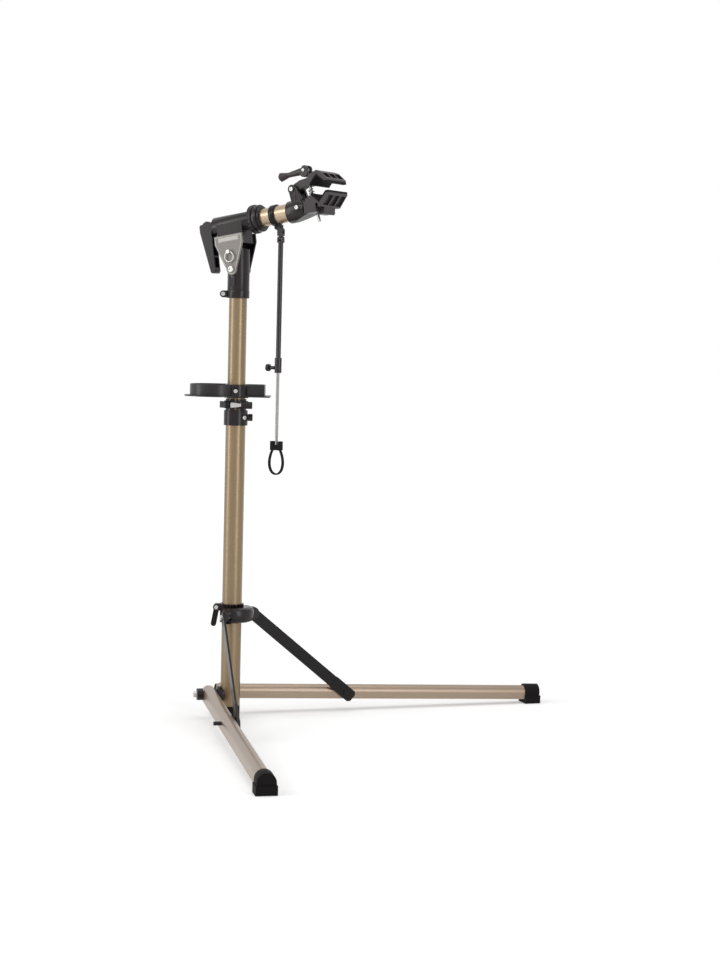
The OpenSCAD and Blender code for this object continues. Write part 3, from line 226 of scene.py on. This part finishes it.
def bareMetal(name, dark, light, rough, lineMm, stretch, metallic):
    m = metalSkin
    made, tree = newFinish(name)
    where = addNode(tree, "ShaderNodeTexCoord")
    along = addNode(tree, "ShaderNodeMapping", {"Scale": stretch}, {"Vector": (where, "Object")})
    lines = addNode(tree, "ShaderNodeTexNoise", {"Scale": perMetre / lineMm, "Detail": m["lineDetail"]},
                    {"Vector": (along, 0)})
    endFinish(tree, (lines, dark, light), (lines, rough - m["glossLow"], rough + m["glossHigh"]),
              (lines, m["bump"], m["bumpMm"]), {"Metallic": metallic})
    return made


# each has a name, two tones and a roughness, then the width in mm and the stretch of its lines, or the size
# and the depth in mm of its grain and its shine; a metal ends with how metallic it is
finish = dict(
    # anodised mast: warm brown satin, lines running up it
    bronze=anodisedTube("bronzeAnodised", "#78654A", "#8C785B", 0.36, 1.2, (1, 1, 0.02)),
    # anodised legs: a greyer brown, with level lines
    legBronze=anodisedTube("legAnodised", "#857362", "#9A8876", 0.36, 1.2, (0.05, 0.05, 1)),
    # turned arm tube: pale gold, with rings round it
    gold=anodisedTube("turnedGold", "#A08C72", "#B6A287", 0.3, 0.8, (1, 0.1, 0.1)),
    # moulded fittings: deep black, smooth, with clear reflections
    casting=blackSkin("mouldedBlack", "#181113", "#251B1D", 0.28, 1.0, 0.04, 0.28),
    # enamelled strip: deep black, smooth, with a dim gloss; on the head's rear plate this black is painted
    # shade
    enamelAndShade=blackSkin("blackEnamelAndShade", "#100D0D", "#1A1616", 0.3, 6.0, 0.01, 0.18),
    # enamelled rod: black with a bright line along it
    rodPaint=blackSkin("rodEnamel", "#171113", "#221A1C", 0.22, 20.0, 0.005, 0.4),
    # moulded jaw nylon: dark grey, a broad sheen
    jaw=blackSkin("jawNylon", "#282123", "#362D2F", 0.38, 1.0, 0.05, 0.36),
    # moulded tray: dark grey, fine grain
    tray=blackSkin("trayBlack", "#1E1B1D", "#2B2829", 0.36, 0.8, 0.05, 0.35),
    # moulded rubber and webbing: flat black
    rubber=blackSkin("feetRubber", "#0F0E0E", "#1A1717", 0.66, 0.8, 0.08, 0.1),
    # lacquered side plate: dull mid grey
    pewter=bareMetal("pewterLacquer", "#706B67", "#827D78", 0.48, 0.6, (1, 1, 1), 0.25),
    # the plate's raised border and strip: the same lacquer, paler
    pale=bareMetal("pewterStrip", "#9E9A95", "#B2AEA8", 0.45, 0.6, (1, 1, 1), 0.25),
    # zinc plated bolts: bright, with sharp highlights
    steel=bareMetal("zincSteel", "#B4B2AE", "#CFCDC9", 0.24, 0.5, (1, 1, 0.1), 0.7),
    # drawn rod and spring wire: greyer steel, long soft streaks
    rodSteel=bareMetal("drawnSteel", "#7C7B79", "#989693", 0.3, 4.0, (1, 1, 0.1), 0.8),
)

# every node that is not listed is a moulded fitting
nodeFinish = dict(
    bronze=["lower_tube", "upper_tube"],
    legBronze=["leg_far", "leg_near"],
    gold=["clamp_tube"],
    pewter=["plate_front"],
    tray=["tray"],
    # plate_rear is drawn black as painted shade: its inner side is only seen in shadow between the plates
    enamelAndShade=["brace_far", "brace_near", "brace_cap_far", "brace_cap_near", "plate_rear", "hanger_band",
           "collar_lever", "mast_lever"],
    rodPaint=["outer_rod", "rod_eye"],
    jaw=["lower_jaw", "upper_jaw", "cam_lever"],
    steel=["pivot_bolts", "collar_pins", "collar_bolt", "mast_bolt", "tray_screw", "ring_bolt", "tilt_bolt",
           "spindle", "lever_pin", "pull_pin", "pull_ring", "jaw_bolts", "draw_rod"],
    rodSteel=["jaw_spring", "inner_rod"],
    rubber=["foot_far", "foot_near", "lower_pad", "upper_pad", "strap", "mast_foot"],
)
chosen = {n: key for key, names in nodeFinish.items() for n in names}
for name, obj in nodes.items():
    obj.data.materials.clear()
    obj.data.materials.append(finish[chosen.get(name, "casting")])
print("finishes on", len(nodes), "nodes")

# moulded and cast edges are broken by a small radius, in mm
softEdge = dict(clamp_body=1.2, lower_jaw=1.0, upper_jaw=1.0, head_lever=1.4, head_sleeve=0.8,
                sleeve_ring=0.8, barrel=1.0, pivot_bracket=1.0, leg_collar=2.0, mast_band=0.6, tray_ring=0.8,
                cam_lever=1.0, hanger_band=0.7, outer_rod=0.5, coupling_fixed=0.8, coupling_turning=0.8,
                foot_far=1.2, foot_near=1.2, brace_cap_far=0.8, brace_cap_near=0.8, collar_lever=0.8,
                mast_lever=0.8, mast_foot=0.8)
edgeSet = dict(weldMm=0.002, steps=2, sharper=40)  # edges sharper than this, in degrees, are rounded
for name, radius in softEdge.items():
    weld = nodes[name].modifiers.new("joinSeams", "WELD")
    weld.merge_threshold = edgeSet["weldMm"] * mm
    edge = nodes[name].modifiers.new("softEdge", "BEVEL")
    edge.width, edge.segments = radius * mm, edgeSet["steps"]
    edge.limit_method, edge.angle_limit = "ANGLE", math.radians(edgeSet["sharper"])
    edge.use_clamp_overlap = True
print("edges softened on", len(softEdge), "nodes")


# surfaces: every new piece is a grid of points, worked out as whole arrays

# four-sided faces between a grid's points; a direction that wraps joins its last points to its first
def gridFaces(rows, cols, wrapRows, wrapCols):
    r = np.arange(rows if wrapRows else rows - 1)
    c = np.arange(cols if wrapCols else cols - 1)
    a, b = np.meshgrid(r, c, indexing="ij")
    a2, b2 = (a + 1) % rows, (b + 1) % cols
    return np.stack([a * cols + b, a2 * cols + b, a2 * cols + b2, a * cols + b2], -1).reshape(-1, 4)


mergeGap = 1e-6  # metres


# puts points and faces into a mesh, merges what meets and turns the faces outwards; sharp is in degrees
def addPiece(name, points, faces, finishKey, body, slot, sharp):
    mesh = bpy.data.meshes.new(name)
    mesh.from_pydata(np.asarray(points).reshape(-1, 3).tolist(), [], np.asarray(faces).tolist())
    mesh.materials.append(finish[finishKey])
    tidy = bmesh.new()
    tidy.from_mesh(mesh)
    bmesh.ops.remove_doubles(tidy, verts=tidy.verts, dist=mergeGap)
    bmesh.ops.recalc_face_normals(tidy, faces=tidy.faces)
    tidy.to_mesh(mesh)
    tidy.free()
    mesh.shade_smooth()
    mesh.set_sharp_from_angle(angle=math.radians(sharp))
    obj = bpy.data.objects.new(name, mesh)
    scene.collection.objects.link(obj)
    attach(obj, body)
    return obj


# several closed grids as one mesh: each grid's faces count on from the points before it
def joinGrids(grids):
    points, faces, start = [], [], 0
    for p, f in grids:
        p = np.asarray(p).reshape(-1, 3)
        points.append(p)
        faces.append(np.asarray(f) + start)
        start += len(p)
    return np.concatenate(points), np.concatenate(faces)


# two grids of the same shape, joined by a wall that follows their edges round
def closedSheet(front, rear):
    rows, cols = front.shape[:2]
    size = rows * cols
    faces = gridFaces(rows, cols, False, False)
    rim = np.concatenate([np.arange(cols), cols * np.arange(1, rows) + cols - 1,
                          size - cols + np.arange(cols - 2, -1, -1), cols * np.arange(rows - 2, 0, -1)])
    wall = np.stack([rim, np.roll(rim, -1), np.roll(rim, -1) + size, rim + size], -1)
    points = np.concatenate([front.reshape(-1, 3), rear.reshape(-1, 3)])
    return points, np.concatenate([faces, faces + size, wall])


leastLength = 1e-12  # keeps a vector of no length from dividing by 0


def unit(v):  # vectors brought to length 1
    return v / np.maximum(np.linalg.norm(v, axis=-1, keepdims=True), leastLength)


# a profile carried along a path, square to it at each point; up fixes the profile's second axis
def swept(path, profile, up, closed):
    path, profile = np.asarray(path, float), np.asarray(profile, float)
    if closed:
        ahead = np.roll(path, -1, 0) - np.roll(path, 1, 0)
    else:
        ahead = np.gradient(path, axis=0)
    ahead = unit(ahead)
    side = unit(np.cross(np.broadcast_to(up, ahead.shape), ahead))
    top = np.cross(ahead, side)
    grid = path[:, None] + profile[None, :, :1] * side[:, None] + profile[None, :, 1:] * top[:, None]
    if not closed:  # each end closes to its middle
        start, end = (ring.mean(1, keepdims=True).repeat(len(profile), 1) for ring in (grid[:1], grid[-1:]))
        grid = np.concatenate([start, grid, end], 0)
    return grid, gridFaces(len(grid), len(profile), closed, True)


# a turned form: each outline point, a distance along the axis and a radius, becomes a ring round that axis
# ripple gives the ring's radius from that distance, that radius and the angle; the axis is never upright
def turned(origin, axis, outline, steps, ripple):
    axis = unit(np.asarray(axis, float))
    u = unit(np.cross(axis, straightUp))
    v = np.cross(axis, u)
    t = np.linspace(0, 2 * np.pi, steps, endpoint=False)
    along, radius = np.asarray(outline, float).T
    rad = ripple(along[:, None], radius[:, None], t[None])
    ring = np.cos(t)[None, :, None] * u + np.sin(t)[None, :, None] * v
    grid = np.asarray(origin, float) + along[:, None, None] * axis + rad[..., None] * ring
    return grid, gridFaces(len(along), steps, False, True)


# the stand's own directions; where its joints are comes from the frame, in mm
armTilt = math.radians(9)          # the arm's rise
fittingTurn = math.radians(-60)    # the levers, the knob and the tray, round the mast
legBoltTurn = math.radians(48)     # the leg bolts, round the mast
straightUp = np.array([0, 0, 1.0])
across = np.array([0, 1.0, 0])
armDir = np.array([math.cos(armTilt), 0, math.sin(armTilt)])
armUp = np.array([-math.sin(armTilt), 0, math.cos(armTilt)])
fitOut = np.array([math.cos(fittingTurn), math.sin(fittingTurn), 0])      # towards the camera
fitSide = np.array([-math.sin(fittingTurn), math.cos(fittingTurn), 0])    # to the camera's right
boltFar = np.array([-math.sin(legBoltTurn), math.cos(legBoltTurn), 0])
boltNear = boltFar * np.array([1, -1, 1])
jointAt = {joint["name"]: np.array(joint["pos_m"]) / mm for joint in frame["joints"] if "pos_m" in joint}
tiltBolt = jointAt["head_tilt"]
knobHigh, bandHigh, collarHigh = (jointAt[name][2] for name in
                                  ("mast_knob_turn", "mast_lever_swing", "collar_lever_swing"))


def headAt(x, y, z):  # mm in the tilting head's own frame, from the tilt bolt along and square to the arm
    x, y, z = (np.asarray(k, float)[..., None] for k in (x, y, z))
    return (tiltBolt + x * armDir + y * across + z * armUp) * mm


def fitAt(x, y, z):  # mm in the frame of the levers and the tray, turned round the mast
    x, y, z = (np.asarray(k, float)[..., None] for k in (x, y, z))
    return (x * fitOut + y * fitSide + z * straightUp) * mm


cornerSet = dict(points=3, share=0.35)  # share: the corner's radius as a part of the smaller half size


def rounded(half, high):  # a rectangle's outline, its corners quarter circles
    r = cornerSet["share"] * min(half, high)
    t = np.linspace(0, np.pi / 2, cornerSet["points"])
    x, y = half - r, high - r
    corners = [(x, y, 0), (-x, y, 1), (-x, -y, 2), (x, -y, 3)]  # middle and quarter turn of each corner
    return np.concatenate([np.stack([cx + r * np.cos(t + k * np.pi / 2), cy + r * np.sin(t + k * np.pi / 2)],
                                    -1) for cx, cy, k in corners])


def roundWire(radius, sides):  # a circle's outline
    t = np.linspace(0, 2 * np.pi, sides, endpoint=False)
    return np.stack([np.cos(t), np.sin(t)], -1) * radius


def dense(points, step):  # even points along a line of corners, by the length walked
    points = np.asarray(points, float)
    gap = np.linalg.norm(np.diff(points, axis=0), axis=1)
    where = np.concatenate([[0], np.cumsum(gap)])
    t = np.linspace(0, where[-1], max(int(where[-1] / step), 2))
    return np.stack([np.interp(t, where, points[:, k]) for k in range(points.shape[1])], -1)


# side plate: a bead follows its edge at an inset, straight round the top and an arc below the bolt
plateSet = dict(half=33, top=69, side=52, round=11.5, face=26.45, inset=2.6, bead=0.7, lift=0.35,
                arc=(-12, -168, 17), step=1.5, sharp=35)  # arc: first and last degree, points


def addPlateBorder(p):
    half, top, r = p["half"] - p["inset"], p["top"] - p["inset"], p["round"] - p["inset"]
    t = np.radians(np.linspace(*p["arc"]))
    line = np.concatenate([[(-half, p["side"]), (-half, top), (half, top), (half, p["side"])],
                           np.stack([r * np.cos(t), r * np.sin(t)], -1)])
    line = dense(np.concatenate([line, line[:1]]), p["step"])[:-1]
    path = headAt(line[:, 0], np.full(len(line), -p["face"]), line[:, 1])
    grid, faces = swept(path, rounded(p["bead"], p["lift"]) * mm, -across, True)
    addPiece("plateBorder", grid, faces, "pale", "arm", "pewter_plate", p["sharp"])


addPlateBorder(plateSet)

# the plate's bare strip: a flat sheet whose height falls to nothing at its ends and sides
stripSet = dict(half=24, at=60.5, high=4.2, gap=0.05, lift=0.5, root=0.3, endFall=1.2, sideFall=0.25,
                columns=49, rows=13, sharp=35)


def addPlateStrip(s, face):
    x, z = np.meshgrid(np.linspace(-s["half"], s["half"], s["columns"]), np.linspace(-1, 1, s["rows"]),
                       indexing="ij")
    ends = np.minimum(1, (s["half"] - np.abs(x)) / s["endFall"])
    sides = np.minimum(1, (1 - np.abs(z)) / s["sideFall"])
    high = s["at"] + s["high"] * z
    front = headAt(x, -face - s["gap"] - s["lift"] * (sides * ends), high)
    rear = headAt(x, np.full(x.shape, -face + s["root"]), high)
    addPiece("plateStrip", *closedSheet(front, rear), "pale", "arm", "pewter_plate", s["sharp"])


addPlateStrip(stripSet, plateSet["face"])

# coupling ring: a raised grip, whose radius sinks in a row of oval thumb dimples
couplingSet = dict(start=48.3, end=57.7, radius=28.0, lift=0.9, root=1, shoulder=0.12, axisHigh=93,
                   dimples=22, depth=0.85, dimpleLong=2.6, dimpleWide=0.3, rows=22, stepsEach=14, sharp=50)


def addCouplingGrip(c):
    s = np.linspace(0, 1, c["rows"])
    edge = np.clip(np.minimum(s, 1 - s) / c["shoulder"], 0, 1) ** 0.5
    outline = np.stack([c["start"] + (c["end"] - c["start"]) * s, c["radius"] + c["lift"] * edge], -1)
    inner = c["radius"] - c["root"]
    outline = np.concatenate([[(c["start"], inner)], outline, [(c["end"], inner), (c["start"], inner)]])

    def dimple(along, radius, t):
        u = (along - (c["start"] + c["end"]) / 2) / c["dimpleLong"]
        w = (((t * c["dimples"] / (2 * np.pi)) % 1) - 0.5) / c["dimpleWide"]
        return radius - c["depth"] * np.exp(-(u * u + w * w) ** 2)
    origin = headAt(0, 0, c["axisHigh"]) / mm
    grid, faces = turned(origin, armDir, outline, c["dimples"] * c["stepsEach"], dimple)
    addPiece("couplingGrip", grid * mm, faces, "casting", "arm", "black_casting", c["sharp"])


addCouplingGrip(couplingSet)

# knobs: a grip over the plain turned end, whose radius sinks in cosine grooves that fade at both ends
thumbReach = np.array([26.3, 0, 0])  # from the rod's middle to the grip's outer end
knobSet = [dict(name="mastKnobGrip", origin=fitAt(0, 24.85, knobHigh), axis=fitSide, radius=7.2, length=9.2,
                ridges=18, depth=0.5, body="mast_knob"),
           dict(name="mastDrumGrip", origin=fitAt(29.6, 21.9, bandHigh), axis=fitSide, radius=7.2,
                length=12.4, ridges=18, depth=0.5, body="base"),
           dict(name="thumbGrip", origin=(jointAt["thumbscrew_turn"] - thumbReach) * mm, axis=(1.0, 0, 0),
                radius=7.2, length=6.5, ridges=16, depth=0.6, body="thumbscrew")]
# along and radius are shares of the knob's length and radius
knobShape = dict(along=(0, 0.04, 0.14, 0.3, 0.5, 0.7, 0.86, 0.96, 1.0),
                 radius=(0.78, 0.92, 1, 1, 1, 1, 1, 0.92, 0.78),
                 fade=0.15, grooved=0.9, stepsEach=8, sharp=40)


def addKnob(name, origin, axis, radius, length, ridges, depth, body):
    k = knobShape
    outline = np.stack([np.array(k["along"]) * length, radius * np.array(k["radius"])], -1)
    outline = np.concatenate([[(0.0, 0.0)], outline, [(length, 0.0)]])

    def ridge(along, rad, t):
        grip = np.clip(np.minimum(along, length - along) / (k["fade"] * length), 0, 1)
        return rad - depth * grip * (0.5 - 0.5 * np.cos(ridges * t)) * (rad > k["grooved"] * radius)
    grid, faces = turned(np.asarray(origin) / mm, axis, outline, ridges * k["stepsEach"], ridge)
    addPiece(name, grid * mm, faces, "casting", body, "black_casting", k["sharp"])


for row in knobSet:
    addKnob(**row)

# bolt heads: a domed edge round a socket, whose radius follows the sides of a hexagon
legBoltOut, bandScrewOut = 74.4, 27.05  # from the mast's middle
legBoltRise = jointAt["leg_far_fold"] * straightUp
bandScrewWay = (fitOut + fitSide) / math.sqrt(2)
bandScrewAt = bandScrewOut / math.sqrt(2)
# name, place, the way it faces, radius in mm, body
boltSet = [("tiltBoltFace", headAt(0, -29.45, 0), -across, 6.2, "arm"),
           ("jawBoltFace", headAt(154, -19.9, 135), -across, 4.2, "clamp"),
           ("bodyBoltFace", headAt(164.5, -25.0, 97), -across, 4.2, "clamp"),
           ("ringBoltFace", fitAt(10.0, -29.55, 859), fitOut, 4.2, "head"),
           ("collarBoltFace", fitAt(10.0, -31.05, collarHigh), fitOut, 4.2, "collar"),
           ("trayScrewFace", fitAt(26.05, 0, 665), fitOut, 4.2, "mast"),
           ("bandScrewFace", fitAt(bandScrewAt, bandScrewAt, knobHigh), bandScrewWay, 4.2, "base"),
           ("pivotBoltFaceNear", (boltNear * legBoltOut + legBoltRise) * mm, boltNear, 6.2, "base"),
           ("pivotBoltFaceFar", (boltFar * legBoltOut + legBoltRise) * mm, boltFar, 6.2, "base")]
# radius and lift are shares of the bolt's radius, from the socket's floor over the edge to the hidden back
boltShape = dict(radius=(0, 0.3, 0.42, 0.47, 0.52, 0.62, 0.86, 0.96, 1.0, 1.0, 0),
                 lift=(-0.25, -0.25, -0.25, 0.0, 0.34, 0.4, 0.4, 0.25, 0.0, -0.3, -0.3),
                 liftShare=0.4, centre=0.01, socket=0.55, socketGrow=1.1, steps=48, sharp=40)


def addBoltFace(name, origin, axis, radius, body):
    b = boltShape
    outline = np.stack([np.array(b["lift"]) * radius * b["liftShare"], np.array(b["radius"]) * radius], -1)

    def socket(along, rad, t):
        six = np.cos(np.pi / 6) / np.cos((t % (np.pi / 3)) - np.pi / 6)
        inside = (rad > b["centre"]) & (rad < b["socket"] * radius)
        return np.where(inside, rad * six * b["socketGrow"], rad * np.ones_like(t))
    grid, faces = turned(np.asarray(origin) / mm, axis, outline, b["steps"], socket)
    addPiece(name, grid * mm, faces, "steel", body, "bright_steel", b["sharp"])


for row in boltSet:
    addBoltFace(*row)

# jaw spring: a round wire along a helix on the draw rod, which leans from the head's upright by lean degrees
springSet = dict(pin=(181, 169), lean=10, low=-61.47, high=-39.51, radius=5.2, wire=0.95, turns=4,
                 steps=240, sides=10, sharp=60)


def addJawCoil(s):
    t = np.linspace(0, 1, s["steps"])
    a = 2 * np.pi * s["turns"] * t
    lean = math.radians(s["lean"])
    x, y, z = s["radius"] * np.cos(a), s["radius"] * np.sin(a), s["low"] + (s["high"] - s["low"]) * t
    path = headAt(s["pin"][0] + x * math.cos(lean) - z * math.sin(lean), y,
                  s["pin"][1] + x * math.sin(lean) + z * math.cos(lean))
    grid, faces = swept(path, roundWire(s["wire"], s["sides"]) * mm, armUp, False)
    coil = addPiece("jawCoil", grid, faces, "rodSteel", "clamp", "bright_steel", s["sharp"])
    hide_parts("jaw_spring")


addJawCoil(springSet)

# tray: a round bead along the wall's top edge, an arc round the bowl and straight sides, open at the mast
traySet = dict(top=676.4, round=46.75, roundAt=46, back=8, front=4.75, depth=56, reach=55.75, wall=2.5,
               arc=(30, -215, 60), arcEnd=8, frontEnd=40.8, rearEnd=33, ringRadius=23.6,
               bead=1.5, step=2.0, sides=8, sharp=60)  # arc: first and last degree, points


def addTrayBead(s):
    rear = s["front"] - s["depth"] + s["wall"]
    a = np.radians(np.linspace(*s["arc"]))
    arc = np.stack([-s["back"] + s["round"] * np.cos(a), -s["roundAt"] + s["round"] * np.sin(a)], -1)
    keep = arc[(arc[:, 1] < -s["roundAt"] + s["arcEnd"]) | (arc[:, 0] > s["front"]) | (arc[:, 0] < rear)]
    line = np.concatenate([[(s["front"], s["reach"]), (s["front"], -s["roundAt"] + s["frontEnd"])], keep,
                           [(rear, -s["roundAt"] + s["rearEnd"]), (rear, s["reach"])]])
    line = dense(np.concatenate([line, line[:1]]), s["step"])[:-1]
    line = line[np.hypot(line[:, 0], line[:, 1]) > s["ringRadius"]]
    # the line starts after its widest gap, where the mast's ring stands
    widest = np.argmax(np.linalg.norm(np.roll(line, -1, 0) - line, axis=1))
    line = np.roll(line, -widest - 1, 0)
    path = fitAt(line[:, 0], line[:, 1], np.full(len(line), s["top"]))
    grid, faces = swept(path, roundWire(s["bead"], s["sides"]) * mm, straightUp, False)
    addPiece("trayBead", grid, faces, "tray", "mast", "black_casting", s["sharp"])


addTrayBead(traySet)

# clamp cheeks: a bead along a closed rim and along straight cross ribs, on both sides
cheekSet = dict(face=16.8, lift=0.7, bead=1.1, step=1.5, sharp=40,
                rim=[(149, 140), (149, 128.5), (152.6, 104.5), (158.6, 96), (174.4, 96), (168, 121),
                     (164.4, 134), (159, 141)],
                ribs=[((150.5, 122), (167, 124)), ((152, 108), (171, 110)), ((157, 100), (161, 130))])


def addCheekRibs(c):
    rim = dense(c["rim"] + c["rim"][:1], c["step"])[:-1]
    lines = [(rim, True)] + [(dense(rib, c["step"]), False) for rib in c["ribs"]]
    made = []
    for side in (-1, 1):
        for line, closed in lines:
            path = headAt(line[:, 0], np.full(len(line), side * c["face"]), line[:, 1])
            made.append(swept(path, rounded(c["bead"], c["lift"]) * mm, side * across, closed))
    addPiece("cheekRibs", *joinGrids(made), "jaw", "clamp", "black_casting", c["sharp"])


addCheekRibs(cheekSet)

# mast band: a bright tongue over the band's slot, a sheet that narrows, bows out and folds back at its edges
tongueSet = dict(out=34.6, start=-9.0, end=12.0, high=5.2, low=2.6, narrowing=1.5, bow=1.2, fold=0.5,
                 foldPower=6, thick=0.6, columns=40, rows=15, sharp=40)


def addTongue(t, high):
    u, v = np.meshgrid(np.linspace(0, 1, t["columns"]), np.linspace(-1, 1, t["rows"]), indexing="ij")
    half = t["high"] + (t["low"] - t["high"]) * u ** t["narrowing"]
    out = t["bow"] * np.sin(np.pi * u) - t["fold"] * v ** t["foldPower"]
    y, z = t["start"] + (t["end"] - t["start"]) * u, high + half * v
    front, rear = fitAt(t["out"] + out, y, z), fitAt(t["out"] + out - t["thick"], y, z)
    addPiece("bandTongue", *closedSheet(front, rear), "steel", "base", "bright_steel", t["sharp"])


addTongue(tongueSet, bandHigh)

# the rod's lower bracket is dull black up to the bare rod
bracketTop = 0.5684  # metres above the floor
rod = nodes["inner_rod"]
rod.data.materials.append(finish["rubber"])
for face in rod.data.polygons:
    if max((rod.matrix_world @ rod.data.vertices[i].co).z for i in face.vertices) < bracketTop:
        face.material_index = 1
print("small details ready")
